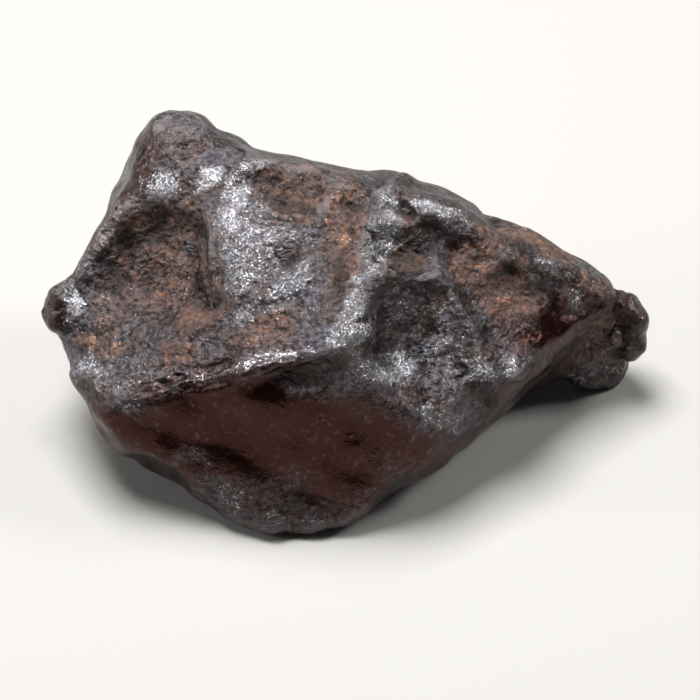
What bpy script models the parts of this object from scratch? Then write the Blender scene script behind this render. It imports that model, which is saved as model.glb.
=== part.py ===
"""Iron meteorite: one solid piece, a blunt wedge about 93 mm long that stands on three worn spots.

The skin is the zero level of a distance function. Flat facets give the broken body, ellipsoids scoop
thumbprint hollows out of it or stand proud of it as lumps, ridges and grooves run along short paths, and a
slow random bending takes the straightness out of all of them. A sphere of points is drawn in onto that skin,
thinned to the final facets and cut flat where the stone stands.
"""

import bmesh
import bpy
import numpy as np
from math import cos, radians, sin, sqrt

MM = 0.001

# Points on the skin before thinning, the share of faces kept, and the search for the skin in millimetres
SPHERE_SUBDIVISIONS = 7
KEPT_SHARE = 0.112
SPINE_MIDDLE = (2.0, 6.7, 16.5)
SPINE_HALF = (32.0, 3.7, -4.5)
REACH = 70.0
PACE = 0.6
SKIN_GAP = 0.01
MOST_STEPS = 150

# Block of ground that cuts the worn spots flat
GROUND_SIZE = 200.0
GROUND_DEPTH = 20.0

# Centre of the finished stone's bounding box before it is moved to the origin
BOX_CENTRE = (-0.19, 5.98)

# Dark weathered iron
IRON_COLOUR = (0.062, 0.055, 0.050)
IRON_METALLIC = 0.85
IRON_ROUGHNESS = 0.42

# The stone is laid out as an eye sees it from in front, 45 degrees above the horizon. A place is
# (across, up) in millimetres on the plane through the stone's middle that faces the eye, and toward is how
# far a point stands in front of that plane.
EYE_DISTANCE = 400.0
PLANE_HEIGHT = 19.4
SLOPE = sqrt(0.5)
INSIDE = np.array([-3.0, 9.0, 19.0])

# Random bending, as wavelength and amplitude: slow for the whole form, quicker for the features alone
BENDS = ((15.0, 0.75), (6.0, 0.32))
FEATURE_BENDS = ((4.4, 0.38), (2.2, 0.12))


def vec(*numbers):
    return np.array(numbers, float)


def unit(v):
    return v / np.linalg.norm(v)


def lean_back(v):
    """Turns (across, up, toward) into x, y, z directions."""
    return vec(v[0], SLOPE * (v[1] - v[2]), SLOPE * (v[1] + v[2]))


def seen(place, toward):
    """Point that the eye sees at a place, standing toward millimetres in front of the plane."""
    near = (EYE_DISTANCE - toward) / EYE_DISTANCE
    return lean_back(vec(place[0] * near, place[1] * near, toward)) + vec(0, 0, PLANE_HEIGHT)


def facing(turn, tilt):
    """Direction tilted away from the eye by tilt degrees, toward turn degrees (0 right, 90 up)."""
    t, a = radians(tilt), radians(turn)
    return lean_back(vec(sin(t) * cos(a), sin(t) * sin(a), cos(t)))


def blend_max(a, b, k):
    """Larger of two distances, with a fillet about k wide where they are equal."""
    h = np.maximum(k - np.abs(a - b), 0.0) / k
    return np.maximum(a, b) + h * h * k / 4


def blend_min(a, b, k):
    return -blend_max(-a, -b, k)


def through(a, b, c):
    """Facet through three points, facing away from the stone's middle."""
    n = unit(np.cross(b - a, c - a))
    return a, -n if (INSIDE - a) @ n > 0 else n


def edge(start, end, tilt, toward):
    """Facet that the eye sees nearly edge-on, along the outline from start to end, clockwise."""
    d = unit(vec(*end) - vec(*start))
    return seen(start, toward), facing(np.degrees(np.arctan2(d[0], -d[1])), tilt)


def waves(p, length, seed, count=7):
    """Smooth random field, about -1 to 1: sine waves of about one length in random directions."""
    rng = np.random.default_rng(seed)
    k = rng.normal(size=(count, 3))
    k *= (2 * np.pi / length) * rng.uniform(0.7, 1.4, (count, 1)) / np.linalg.norm(k, axis=1)[:, None]
    phase = rng.uniform(0, 2 * np.pi, count)
    return np.sin(p @ k.T + phase).sum(1) * (1.4 / count)


def bend(p, bends, seed):
    """Points moved by random bending."""
    moves = [sum(size * waves(p, length, seed + 10 * i + axis) for i, (length, size) in enumerate(bends))
             for axis in range(3)]
    return p + np.stack(moves, 1)


# Facets of the broken body: each is a point and a facing, with the fillet to the facets before it
TOP = [
    (through(seen((-37.5, -8.7), 6), seen((-0.8, 1.8), 20), seen((-27, 27), 3.5)), 0),
    (through(seen((-0.8, 1.8), 20), seen((-0.8, 26.2), 7), seen((-22.5, 22.5), 6)), 6),
    (through(seen((3.3, 14.2), 16), seen((37.5, 12), -4.5), seen((13.5, -12.3), 10)), 4),
    (through(seen((-0.8, 26.2), 8), seen((37.5, 13.2), -4), seen((3.3, 16.5), 16)), 4),
]
FRONT = [
    (through(seen((-37.8, -9.3), 6), seen((-0.8, 0.8), 20), seen((-13.2, -28.9), 0.8)), 0),
    (through(seen((-0.8, 0.8), 20), seen((13.5, -12.3), 10), seen((-7.5, -29.7), 0.8)), 6),
    ((seen((25.5, -3.8), 1), facing(-38, 58)), 5),
]
SIDES = [
    (edge((-42.4, 10.5), (-29.7, 34.6), 84, -2), 3),
    (edge((-13.2, 29.7), (14.5, 24.6), 82, 0), 4),
    (edge((7.5, 28.8), (22.5, 21.3), 84, 0), 4),
    (edge((19.5, 23.4), (43.5, 10), 84, -5), 4),
    (edge((40.5, 12), (43.2, 0.8), 80, -12), 4),
    (edge((-37.5, -15), (-44.1, 0.4), 84, 0), 3),
    (edge((-13.2, -29.2), (-38.7, -12.3), 85, 0), 3),
    (edge((38.4, 0), (-2.2, -28.9), 88, -4), 3),
]
UNDER = [
    ((vec(0, 0, 1.3), vec(0, 0, -1)), 1.5),
    ((vec(-24, 13, 0), unit(vec(-0.30, 0.75, -0.6))), 6),
    ((vec(-33, -6, 0), unit(vec(-0.75, 0.1, -0.65))), 5),
    ((vec(-20, 31, 30), unit(vec(-0.1, 0.95, 0.05))), 5),
    ((vec(10, 28, 22), unit(vec(0.25, 0.95, 0.08))), 7),
    ((vec(24, 21, 10), unit(vec(0.3, 0.8, -0.35))), 6),
    ((vec(13, -7, 1), unit(vec(0.45, -0.35, -0.85))), 4),
]


CREST_FILLET = 0.9


def facets(p, group, d=None):
    for (point, n), k in group:
        v = (p - point) @ n
        d = v if d is None else blend_max(d, v, k)
    return d


def body(p):
    """Distance from the facetted body: top and front meet in the crest, sides and underside close it."""
    return facets(p, SIDES + UNDER, blend_max(facets(p, TOP), facets(p, FRONT), CREST_FILLET))


def slope_of(distance, p, e=0.3):
    """Unit rows in which a distance grows fastest."""
    n = np.stack([distance(p + step) - distance(p - step) for step in e * np.eye(3)], 1)
    return n / np.linalg.norm(n, axis=1)[:, None]


def meet(start, step):
    """Goes from start along step (unit rows) to the body; returns the points and the facings there."""
    t = np.zeros(len(start))
    for _ in range(120):
        gap = body(start + step * t[:, None])
        t += np.where(gap > 0.003, np.maximum(gap * 0.75, 0.004), 0.0)
    p = start + step * t[:, None]
    return p, slope_of(body, p)


def on_face(*places):
    """Points and facings of the body where the eye sees the places."""
    far = np.array([seen(q, 45) for q in places])
    step = np.array([seen(q, 0) for q in places]) - far
    return meet(far, step / np.linalg.norm(step, axis=1)[:, None])


def on_side(target, heading):
    """Point and facing of the body met on the way in to target from heading."""
    h = unit(vec(*heading))
    return meet((vec(*target) + 60 * h)[None], -h[None])


def set_up(n, spin):
    """Axes of a feature: along, across and out; along is turned by spin degrees from level."""
    level = np.cross(vec(0, SLOPE, SLOPE), n)
    if np.linalg.norm(level) < 0.2:
        level = vec(1, 0, 0)
    level = unit(level - n * (level @ n))
    s = radians(spin)
    along = level * cos(s) + np.cross(n, level) * sin(s)
    return np.stack([along, np.cross(n, along), n])


class Scoop:
    """Hollow of an ellipsoid pressed into the skin at a spot.

    along and across are the half widths of its mouth, flat goes from a half ball (0) to a shallow dish (1),
    k rounds the rim and lift moves the hollow out of the skin.
    """

    proud = False

    def __init__(self, spot, along, across, depth, spin=0, flat=0.5, k=1.2, lift=0):
        points, facings = spot if isinstance(spot[0], np.ndarray) else on_face(spot)
        radius = depth / (1 - flat)
        spread = 1 / sqrt(1 - flat * flat)
        self.radii = vec(along * spread, across * spread, radius)
        self.centre = points[0] + facings[0] * (lift + radius * flat * (-1 if self.proud else 1))
        self.axes = set_up(facings[0], spin)
        self.k = k

    def cut(self, p, d):
        v = p - self.centre
        m = np.where((v * v).sum(1) < (self.radii.max() + self.k + 1) ** 2)[0]
        if len(m):
            q = v[m] @ self.axes.T / self.radii
            r = np.linalg.norm(q, axis=1)
            e = np.maximum(r * (r - 1) / (np.linalg.norm(q / self.radii, axis=1) + 1e-9), -self.radii.min())
            d[m] = blend_min(d[m], e, self.k) if self.proud else blend_max(d[m], -e, self.k)
        return d


class Bump(Scoop):
    """The same ellipsoid standing proud."""

    proud = True


class Lump(Bump):
    """Whole ellipsoid with its centre at a point, turned about the upright axis and tipped up by rise."""

    def __init__(self, centre, radii, k, turn=0, rise=0):
        self.centre, self.radii, self.k = vec(*centre), vec(*radii), k
        t, r = radians(turn), radians(rise)
        along = vec(cos(t) * cos(r), sin(t) * cos(r), sin(r))
        across = vec(-sin(t), cos(t), 0)
        self.axes = np.stack([along, across, np.cross(along, across)])


class Swell:
    """Smooth bell-shaped swelling, or a dip when the height is negative."""

    def __init__(self, spot, along, across, height, spin=0):
        points, facings = spot if isinstance(spot[0], np.ndarray) else on_face(spot)
        self.centre, self.axes = points[0], set_up(facings[0], spin)
        self.radii = vec(along, across, max(along, across, 5))
        self.height = height

    def cut(self, p, d):
        v = p - self.centre
        m = np.where((v * v).sum(1) < (self.radii.max() * 1.7) ** 2)[0]
        q = (v[m] @ self.axes.T) / self.radii
        d[m] -= self.height * np.maximum(1 - (q * q).sum(1) / 2.9, 0) ** 3
        return d


class Nudge(Swell):
    """Round swelling, or a dip, about a place and depth; it trims the outline."""

    def __init__(self, place, toward, radius, height):
        self.centre, self.axes = seen(place, toward), np.eye(3)
        self.radii = vec(radius, radius, radius)
        self.height = height


class Crease:
    """Ridge, or a groove when the height is negative, along places on the skin; it fades at both ends.

    sharp goes from a round section (0) to a cusp (1). step lifts the skin on its left side and lowers it on
    the right, as far as reach.
    """

    def __init__(self, places, width, height, sharp=0.5, step=0.0, reach=3.0):
        self.points, self.facings = on_face(*places)
        self.width, self.height, self.sharp, self.step, self.reach = width, height, sharp, step, reach
        self.middle = self.points.mean(0)
        self.far = np.linalg.norm(self.points - self.middle, axis=1).max() + max(width, reach if step else 0)
        self.lengths = np.linalg.norm(np.diff(self.points, axis=0), axis=1)
        self.starts = np.concatenate([[0], np.cumsum(self.lengths)])

    def cut(self, p, d):
        v = p - self.middle
        m = np.where((v * v).sum(1) < self.far ** 2)[0]
        q = p[m]
        off = np.full(len(m), 1e9)
        along = np.zeros(len(m))
        side = np.zeros(len(m))
        for i, (a, b) in enumerate(zip(self.points[:-1], self.points[1:])):
            h = np.clip((q - a) @ (b - a) / self.lengths[i] ** 2, 0, 1)
            away = q - a - h[:, None] * (b - a)
            r = np.linalg.norm(away, axis=1)
            nearer = r < off
            off = np.where(nearer, r, off)
            along = np.where(nearer, self.starts[i] + h * self.lengths[i], along)
            side = np.where(nearer, away @ unit(np.cross(self.facings[i], b - a)), side)
        s = along / self.starts[-1]
        fade = np.clip(4 * np.minimum(s, 1 - s), 0, 1)
        fade = fade * fade * (3 - 2 * fade)
        x = np.clip(off / self.width, 0, 1)
        d[m] -= self.height * fade * ((1 - x * x) ** 2 * (1 - self.sharp) + (1 - x) ** 2 * self.sharp)
        if self.step:
            y = np.clip(off / self.reach, 0, 1)
            d[m] -= self.step * fade * (1 - y * y) ** 2 * np.tanh(side / (0.3 * self.width))
        return d


FEATURES = [
    # knob at the upper left and its shoulder
    Lump((-25.4, 23.8, 32.3), (6.8, 9, 12.0), 5),
    Lump((-18.3, 21.5, 34.9), (6.0, 6, 6.0), 4),
    # far left end
    Lump((-40.9, 4.5, 22.4), (5.8, 5.0, 4.4), 2, 0, 10),
    # right end: neck, foot and crust
    Lump((37, 12.5, 9), (7.4, 5.0, 8), 3, 20),
    Lump((38.6, 11.6, 3.0), (5.2, 3.4, 3.6), 1.5, 20),
    Lump((43.4, 12.8, 12.8), (2.4, 3.4, 5.4), 1.5),
    Lump((41.6, 12.6, 17.2), (2.4, 2.0, 2.2), 0.7, 40, 30),
    Lump((44.4, 11.4, 13.8), (1.7, 2.3, 2.6), 0.6, -20),
    Lump((43.9, 10.4, 9.4), (2.0, 1.7, 2.8), 0.6, 30),
    Lump((41.0, 9.0, 12.4), (1.3, 1.2, 2.4), 0.5, 0, 0),
    # worn feet at the front and at the back
    Lump((-9.0, -15.9, 2.6), (9.5, 4.6, 3.2), 2.5, -6),
    Lump((-15.0, 15.0, 4.6), (9.5, 6.5, 5.0), 6.0, 25),
    # big pit at the left: bowl, deep corner, floor that runs out to the left, steep right wall and ribs
    Scoop((-30, 13.2), 11.6, 9.0, 5.6, 25, 0.4, 1.3),
    Scoop((-26.7, 9), 7.0, 6.0, 2.6, 60, 0.5, 1.6),
    Scoop((-34.8, 5.7), 10.5, 6.5, 1.8, 30, 0.6, 3.0),
    Scoop((-21.9, 9.6), 5.4, 3.6, 1.8, 80, 0.4, 1.2, -0.6),
    Crease([(-29.7, 19.2), (-27.6, 17.4), (-25.8, 15.6), (-24.3, 13.2), (-24, 10.5)], 1.7, 1.0, 0.5),
    Crease([(-31.5, 13.2), (-29.1, 11.1), (-26.7, 9.9), (-24.6, 8.1)], 1.5, 0.7, 0.5),
    Crease([(-36.3, 8.7), (-34.2, 6.9), (-32.7, 4.8), (-30.6, 3.6)], 1.2, -0.7, 0.6),
    Crease([(-23.1, 21.6), (-20.4, 19.2), (-21.1, 15.3), (-21.3, 11.7), (-19.1, 6.6)], 1.9, 1.4, 0.5),
    # bright rim along the pit's left side
    Crease([(-32.1, 22.5), (-34.8, 20.4), (-36.9, 17.4), (-39, 13.2), (-41.1, 8.7)], 2.2, 0.9, 0.5),
    # upper middle pit, two hollows with a low bar between them, and its left lip
    Scoop((-10.8, 24), 6.2, 4.4, 1.9, -20, 0.5, 0.9),
    Scoop((-6.3, 24.9), 4.6, 3.6, 1.5, 10, 0.5, 1.2),
    Crease([(-11.1, 28.5), (-14.7, 27.4), (-16.8, 25.2), (-17.8, 22.2), (-18.1, 18.9)], 2.0, 1.0, 0.6),
    Crease([(-15, 23.1), (-12.3, 21.9), (-9.6, 21), (-6.6, 19.6)], 1.4, 0.6, 0.5),
    # high ground, the valley in it and the ridge below the valley
    Swell((-14.7, 14.7), 8, 7, 1.4, -60),
    Scoop((-7.8, 14.1), 6.0, 2.4, 1.0, 42, 0.6, 1.8),
    Swell((-11.7, 3), 8, 4.5, -1.0, 10),
    Crease([(-18, 4.8), (-14.1, 7.5), (-11.1, 9), (-7.8, 11.7), (-4.8, 15.9)], 3.0, 1.0, 0.5),
    Crease([(-15, 4.8), (-12.9, 6), (-9.9, 7.2), (-6.9, 9)], 1.1, -0.6, 0.5),
    # saddle
    Scoop((-0.8, 17.2), 10, 4.0, 2.2, 82, 0.6, 2.0),
    # hood with a rounded brow and the small pit on it
    Lump((10.5, 8.5, 34.5), (8.0, 5.5, 5.0), 3, 0, -14),
    Swell((13.5, 20.7), 8, 4, 1.6, -25),
    Crease([(9, 22.8), (12, 21.8), (15, 20.6), (18.3, 21.4), (20.4, 19.6)], 2.2, 1.4, 0.5),
    Scoop((6.9, 20.1), 3.0, 2.4, 0.9, 40, 0.5, 1.0),
    # cave below the hood: a deep hollow, and a smooth one to its right with a sharp bowed lip
    Scoop((8.7, 15.3), 6.4, 4.6, 4.4, -20, 0.4, 0.9),
    Scoop((12, 17.1), 5.2, 2.4, 1.8, -12, 0.5, 1.0),
    Scoop((16.8, 14.1), 6.6, 4.4, 1.7, -12, 0.6, 0.9),
    Crease([(12.6, 16.5), (12.2, 14.4), (12.8, 12.3), (14.7, 10.8), (17.4, 10.3)], 1.3, 0.7, 0.7),
    Crease([(12.9, 18), (15.6, 18.9), (18.9, 17.7), (21.6, 15.6)], 1.7, 0.8, 0.6),
    # right pit: a wide bowl, its deep corner and a sharp upper right rim
    Scoop((21.6, 8.1), 9.0, 6.4, 1.8, 15, 0.65, 2.0),
    Scoop((24.3, 9.9), 5.0, 4.2, 2.0, -50, 0.45, 0.8),
    Crease([(21.9, 15.4), (24.9, 14.1), (27.4, 12.3), (28.6, 10.2), (29.2, 7.2)], 1.8, 1.2, 0.7),
    # horn and the dished facet below it
    Swell((30.9, 11.4), 4.4, 2.8, 1.6, -35),
    Scoop((32.4, 6.6), 8.0, 5.4, 1.1, 16, 0.75, 0.9),
    Crease([(35.4, 12.3), (37.5, 10.2), (39.3, 8.1), (40.8, 6.3)], 1.5, 0.4, 0.6),
    # hammered hollow with its steps
    Scoop((9.6, 1.2), 11.5, 8.6, 3.2, -50, 0.7, 1.6),
    Scoop((6, 5.7), 4.6, 3.6, 1.2, 30, 0.6, 0.9),
    Scoop((12.9, -3.3), 5.4, 3.4, 1.0, -50, 0.6, 0.9),
    Scoop((13.2, 4.8), 4.8, 3.8, 1.0, 10, 0.6, 0.9),
    # its right edge: a broad ridge down to a smooth knob, and a groove beside it
    Crease([(4.5, 11.7), (7.8, 11.5), (11.7, 11.1), (15, 9.9), (17.4, 6)], 1.8, 0.8, 0.6),
    Crease([(15, 9.9), (17.4, 5.1), (19.5, 0.9), (21.3, -2.1), (23.7, -4.5)], 3.0, 1.6, 0.4),
    Crease([(15.3, 0.3), (17.1, -3.3), (19.5, -6.9), (21.9, -9.6)], 1.8, -1.3, 0.5),
    Bump((24.8, -2.7), 3.2, 2.5, 1.7, 30, 0.4, 0.9),
    # rim between the high ground, the saddle and the hammered hollow
    Crease([(-2.1, 0.6), (-0.6, 4.8), (2.1, 8.1), (4.2, 11.7), (3.1, 15)], 1.9, 1.6, 0.7),
    Crease([(5.2, 13.2), (4.5, 17.1), (4.8, 21.6), (6.9, 24.3), (10.5, 24.9)], 2.1, 1.8, 0.4),
    # crest: bright knob at its peak, a lip to its left, and a long split flake
    Bump((0.3, 2.4), 2.8, 1.5, 1.0, 10, 0.5, 0.8),
    Crease([(-18.3, -3.9), (-13.2, -2.7), (-9, -2.1), (-5.4, -0.9), (-1.5, 0.6)], 1.6, 1.1, 0.7),
    Crease([(-33, -7.5), (-27.8, -5.1), (-23.1, -3), (-16.2, -0.4)], 1.2, -1.0, 0.6),
    Crease([(-30.6, -7.8), (-26.1, -6), (-21.6, -3.9), (-15.9, -1.8)], 1.1, 0.7, 0.6),
    Crease([(-32.1, -8.8), (-27.3, -7.3), (-22.5, -5.4), (-17.7, -3.3)], 1.0, -0.7, 0.6),
    # front: rough dip below the crest, a faint flake scar near the foot
    Swell((-7.5, -4.2), 8, 2.5, -1.2, 13),
    Crease([(-27.8, -17.7), (-22.8, -15.3), (-19.8, -15.6), (-14.1, -19.2), (-6, -24.3)], 1.4, 0.08, 0.4),
    Crease([(-21, -20.4), (-17.7, -21.3), (-14.7, -23.1), (-10.5, -23.7)], 1.4, 0.12, 0.4),
    # neck of the right end: a thin edge above its hollow
    Crease([(31.5, 1.8), (35.2, 3.4), (38.4, 4.8), (40.8, 6.3)], 1.4, 0.5, 0.7),
    Nudge((37.5, 0.3), -8.0, 4.0, -1.1),
    # outline, clockwise from the left end
    Nudge((-46.5, 5.1), 0, 3.0, -0.6),
    Nudge((-44.2, 10), -1, 3.5, 1.0),
    Nudge((-41.7, 12.3), -1, 3.5, -0.5),
    Nudge((-36, 22.5), -3, 4.0, -0.8),
    Nudge((-34.6, 25.5), -4, 4.0, -0.8),
    Nudge((-22.1, 35.4), -4, 4.0, -0.5),
    Nudge((-13.2, 30.3), -5, 5.0, -0.9),
    Nudge((-1.1, 27.6), -3, 5.0, -1.3),
    Nudge((15.8, 23.7), -4, 4.5, 0.8),
    Nudge((41.7, 8.2), -10, 3.0, -0.9),
    Nudge((44.2, 0.8), -13, 3.0, 0.7),
    Nudge((36.3, -5.7), -17, 4.5, -1.4),
    Nudge((30.3, -4.6), -9, 5.0, -1.7),
    Nudge((26.4, -6.5), -5, 5.0, -1.3),
    Nudge((22.5, -9.9), -4, 4.5, -0.7),
    Nudge((14.1, -17.6), 1, 4.0, 0.5),
    Nudge((6.3, -21.9), 1, 4.5, -1.4),
    Nudge((-28.5, -18.8), 0, 4.5, -1.3),
    Nudge((-36.8, -14.1), -1, 4.0, 1.0),
    Nudge((-39.6, -8.2), 4, 4.0, -0.6),
    Nudge((-43.5, 0), -1, 4.0, -1.1),
    # underside: hollows between the feet
    Scoop(on_side((13, 1, 6), (0, 0, -1)), 18, 9, 2.6, 25, 0.6, 2.0),
    Scoop(on_side((-22, 0, 6), (0, 0, -1)), 9, 8, 2.0, 40, 0.5, 1.5),
    Scoop(on_side((-6, 6, 6), (0, 0, -1)), 12, 7.5, 1.8, 160, 0.5, 1.5),
    # back: thumbprints with ridges between them
    Scoop(on_side((-17, 8, 21), (-0.15, 1, 0.0)), 8.5, 7.5, 2.6, 20, 0.5, 0.9),
    Scoop(on_side((-1, 8, 24), (0.0, 1, 0.15)), 7.0, 9.5, 2.6, -25, 0.5, 0.9),
    Scoop(on_side((14, 8, 17), (0.15, 1, 0.0)), 8.5, 6.5, 2.4, 15, 0.5, 0.9),
    Scoop(on_side((-30, 8, 22), (-0.8, 0.6, 0.1)), 7.0, 8.0, 2.2, -20, 0.5, 0.9),
    Scoop(on_side((5, 8, 9), (0.0, 1, -0.3)), 10, 5.5, 2.2, 8, 0.55, 0.9),
    Scoop(on_side((27, 9, 18), (0.2, 1, 0.3)), 6.5, 4.5, 1.6, -15, 0.5, 0.8),
    Scoop(on_side((-30, -2, 12), (-0.9, -0.1, -0.35)), 7.5, 6.0, 1.8, 10, 0.5, 0.9),
    Scoop(on_side((20, 8, 26), (0.3, 1, 0.6)), 6.0, 4.0, 1.4, 30, 0.5, 0.8),
    Scoop(on_side((-12, 8, 12), (-0.1, 1, -0.2)), 5.0, 7.0, 1.6, 35, 0.5, 0.8),
    Swell(on_side((-24, 10, 16), (-0.3, 1, -0.2)), 6, 3, 1.2, 30),
    Swell(on_side((-9, 10, 14), (0, 1, 0)), 7, 4, 1.2, 60),
]


def rock(p):
    """Distance of points from the skin of the stone, in millimetres, negative inside."""
    bent = bend(p, BENDS, 10)
    d = body(bent)
    bent = bend(bent, FEATURE_BENDS, 50)
    for feature in FEATURES:
        d = feature.cut(bent, d)
    return d


def skin(directions):
    """Outermost point of the stone along each unit direction from its spine."""
    base = np.array(SPINE_MIDDLE) + directions[:, :1] * np.array(SPINE_HALF)
    far = np.full(len(directions), REACH)
    walking = np.arange(len(directions))
    for _ in range(MOST_STEPS):
        gap = rock(base[walking] + directions[walking] * far[walking, None])
        walking, gap = walking[gap > SKIN_GAP], gap[gap > SKIN_GAP]
        far[walking] -= np.maximum(PACE * gap, SKIN_GAP)
    return base + directions * far[:, None]


def clear_scene():
    for item in list(bpy.data.objects):
        bpy.data.objects.remove(item, do_unlink=True)


def iron_material():
    material = bpy.data.materials.new("weathered_iron")
    material.use_nodes = True
    shader = material.node_tree.nodes["Principled BSDF"]
    shader.inputs["Base Color"].default_value = (*IRON_COLOUR, 1.0)
    shader.inputs["Metallic"].default_value = IRON_METALLIC
    shader.inputs["Roughness"].default_value = IRON_ROUGHNESS
    return material


def stone_object():
    """A fine sphere drawn in onto the skin of the stone."""
    bm = bmesh.new()
    bmesh.ops.create_icosphere(bm, subdivisions=SPHERE_SUBDIVISIONS, radius=1.0)
    mesh = bpy.data.meshes.new("meteorite")
    bm.to_mesh(mesh)
    bm.free()
    points = np.empty(len(mesh.vertices) * 3)
    mesh.vertices.foreach_get("co", points)
    points = points.reshape(-1, 3)
    placed = skin(points / np.linalg.norm(points, axis=1)[:, None])
    placed -= (*BOX_CENTRE, 0.0)
    mesh.vertices.foreach_set("co", (placed * MM).ravel())
    mesh.update()
    stone = bpy.data.objects.new("meteorite", mesh)
    bpy.context.scene.collection.objects.link(stone)
    return stone


def ground_cutter():
    """Block whose top is the ground; it takes away what reaches below and is not part of the stone."""
    bm = bmesh.new()
    bmesh.ops.create_cube(bm, size=1.0)
    bmesh.ops.scale(bm, vec=(GROUND_SIZE * MM, GROUND_SIZE * MM, GROUND_DEPTH * MM), verts=bm.verts)
    bmesh.ops.translate(bm, vec=(0, 0, -GROUND_DEPTH * MM / 2), verts=bm.verts)
    mesh = bpy.data.meshes.new("ground_cutter")
    bm.to_mesh(mesh)
    bm.free()
    cutter = bpy.data.objects.new("ground_cutter", mesh)
    bpy.context.scene.collection.objects.link(cutter)
    cutter.hide_render = True
    cutter.display_type = "WIRE"
    return cutter


def main():
    clear_scene()
    stone = stone_object()
    stone.data.materials.append(iron_material())
    thin = stone.modifiers.new("thin", "DECIMATE")
    thin.decimate_type = "COLLAPSE"
    thin.ratio = KEPT_SHARE
    cut = stone.modifiers.new("stand", "BOOLEAN")
    cut.operation = "DIFFERENCE"
    cut.solver = "EXACT"
    cut.object = ground_cutter()


if __name__ == "__main__":
    main()
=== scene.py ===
"""Looks of the iron meteorite: a skin of fine quads over the stone's form, and the stage it stands on.

Blender add-on layout, run as a script. Lengths are millimetres in the stone's own layout, where z = 0 is
the ground, unless a name says otherwise; the finished mesh is in metres around the CAD model's origin.
"""

import itertools
from math import cos, pi, radians, sin, sqrt

import bpy
import numpy as np
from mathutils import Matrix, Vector


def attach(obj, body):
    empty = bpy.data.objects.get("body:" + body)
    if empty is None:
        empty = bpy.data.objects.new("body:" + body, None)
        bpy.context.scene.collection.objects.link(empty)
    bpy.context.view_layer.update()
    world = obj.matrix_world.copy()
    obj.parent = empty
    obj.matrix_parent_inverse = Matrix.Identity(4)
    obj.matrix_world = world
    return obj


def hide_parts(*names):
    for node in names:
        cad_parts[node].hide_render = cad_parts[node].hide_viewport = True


bl_info = {
    "name": "Iron meteorite",
    "version": (1, 0, 0),
    "blender": (4, 5, 0),
    "location": "View3D > Sidebar > Meteorite",
    "description": "Weathered iron meteorite with thumbprint hollows, and its studio stage",
    "category": "Object",
}

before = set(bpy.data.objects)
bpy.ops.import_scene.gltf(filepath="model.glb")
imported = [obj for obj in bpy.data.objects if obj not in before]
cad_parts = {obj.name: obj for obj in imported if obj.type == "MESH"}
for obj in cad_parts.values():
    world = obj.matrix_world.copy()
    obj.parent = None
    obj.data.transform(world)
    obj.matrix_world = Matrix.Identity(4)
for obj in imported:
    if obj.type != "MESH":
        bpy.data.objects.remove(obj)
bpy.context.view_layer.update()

MM = 0.001

# The stone is laid out as an eye sees it from in front, 45 degrees above the horizon. A place is
# (across, up) in millimetres on the plane through the stone's middle that faces the eye, and toward is how
# far a point stands in front of that plane. The picture is FRAME_WIDTH wide on it.
EYE_ANGLE = 45
EYE_DISTANCE = 400.0
PLANE_HEIGHT = 19.4
FRAME_WIDTH = 105.0
SLOPE = sqrt(0.5)
EYE_SIDE = np.array([0.0, -SLOPE, SLOPE])
# A point well inside the stone
INSIDE = np.array([-3.0, 9.0, 19.0])

# Random bending, as wavelength and amplitude: slow for the whole form, quicker for the features alone
BENDS = ((15.0, 0.75), (6.0, 0.32))
FEATURE_BENDS = ((4.4, 0.38), (2.2, 0.12))


def vec(*numbers):
    """Numbers as an array."""
    return np.array(numbers, float)


def unit(v):
    """Vector over its length."""
    return v / np.linalg.norm(v)


def lean_back(v):
    """Turns (across, up, toward) into x, y, z directions."""
    return vec(v[0], SLOPE * (v[1] - v[2]), SLOPE * (v[1] + v[2]))


def seen(place, toward):
    """Point that the eye sees at a place, standing toward millimetres in front of the plane."""
    near = (EYE_DISTANCE - toward) / EYE_DISTANCE
    return lean_back(vec(place[0] * near, place[1] * near, toward)) + vec(0, 0, PLANE_HEIGHT)


def facing(turn, tilt):
    """Direction tilted away from the eye by tilt degrees, toward turn degrees (0 right, 90 up)."""
    t, a = radians(tilt), radians(turn)
    return lean_back(vec(sin(t) * cos(a), sin(t) * sin(a), cos(t)))


def blend_max(a, b, k):
    """Larger of two distances, with a fillet about k wide where they are equal."""
    h = np.maximum(k - np.abs(a - b), 0.0) / k
    return np.maximum(a, b) + h * h * k / 4


def blend_min(a, b, k):
    """Smaller of two distances, filleted the same way."""
    return -blend_max(-a, -b, k)


def through(a, b, c):
    """Facet through three points, facing away from the stone's middle."""
    n = unit(np.cross(b - a, c - a))
    return a, -n if (INSIDE - a) @ n > 0 else n


def edge(start, end, tilt, toward):
    """Facet that the eye sees nearly edge-on, along the outline from start to end, clockwise."""
    d = unit(vec(*end) - vec(*start))
    return seen(start, toward), facing(np.degrees(np.arctan2(d[0], -d[1])), tilt)


def waves(p, length, seed, count=7):
    """Smooth random field, about -1 to 1: sine waves of about one length in random directions."""
    rng = np.random.default_rng(seed)
    k = rng.normal(size=(count, 3))
    k *= (2 * pi / length) * rng.uniform(0.7, 1.4, (count, 1)) / np.linalg.norm(k, axis=1)[:, None]
    phase = rng.uniform(0, 2 * pi, count)
    return np.sin(p @ k.T + phase).sum(1) * (1.4 / count)


def bend(p, bends, seed):
    """Points moved by random bending."""
    moves = [sum(size * waves(p, length, seed + 10 * i + axis) for i, (length, size) in enumerate(bends))
             for axis in range(3)]
    return p + np.stack(moves, 1)


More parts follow.
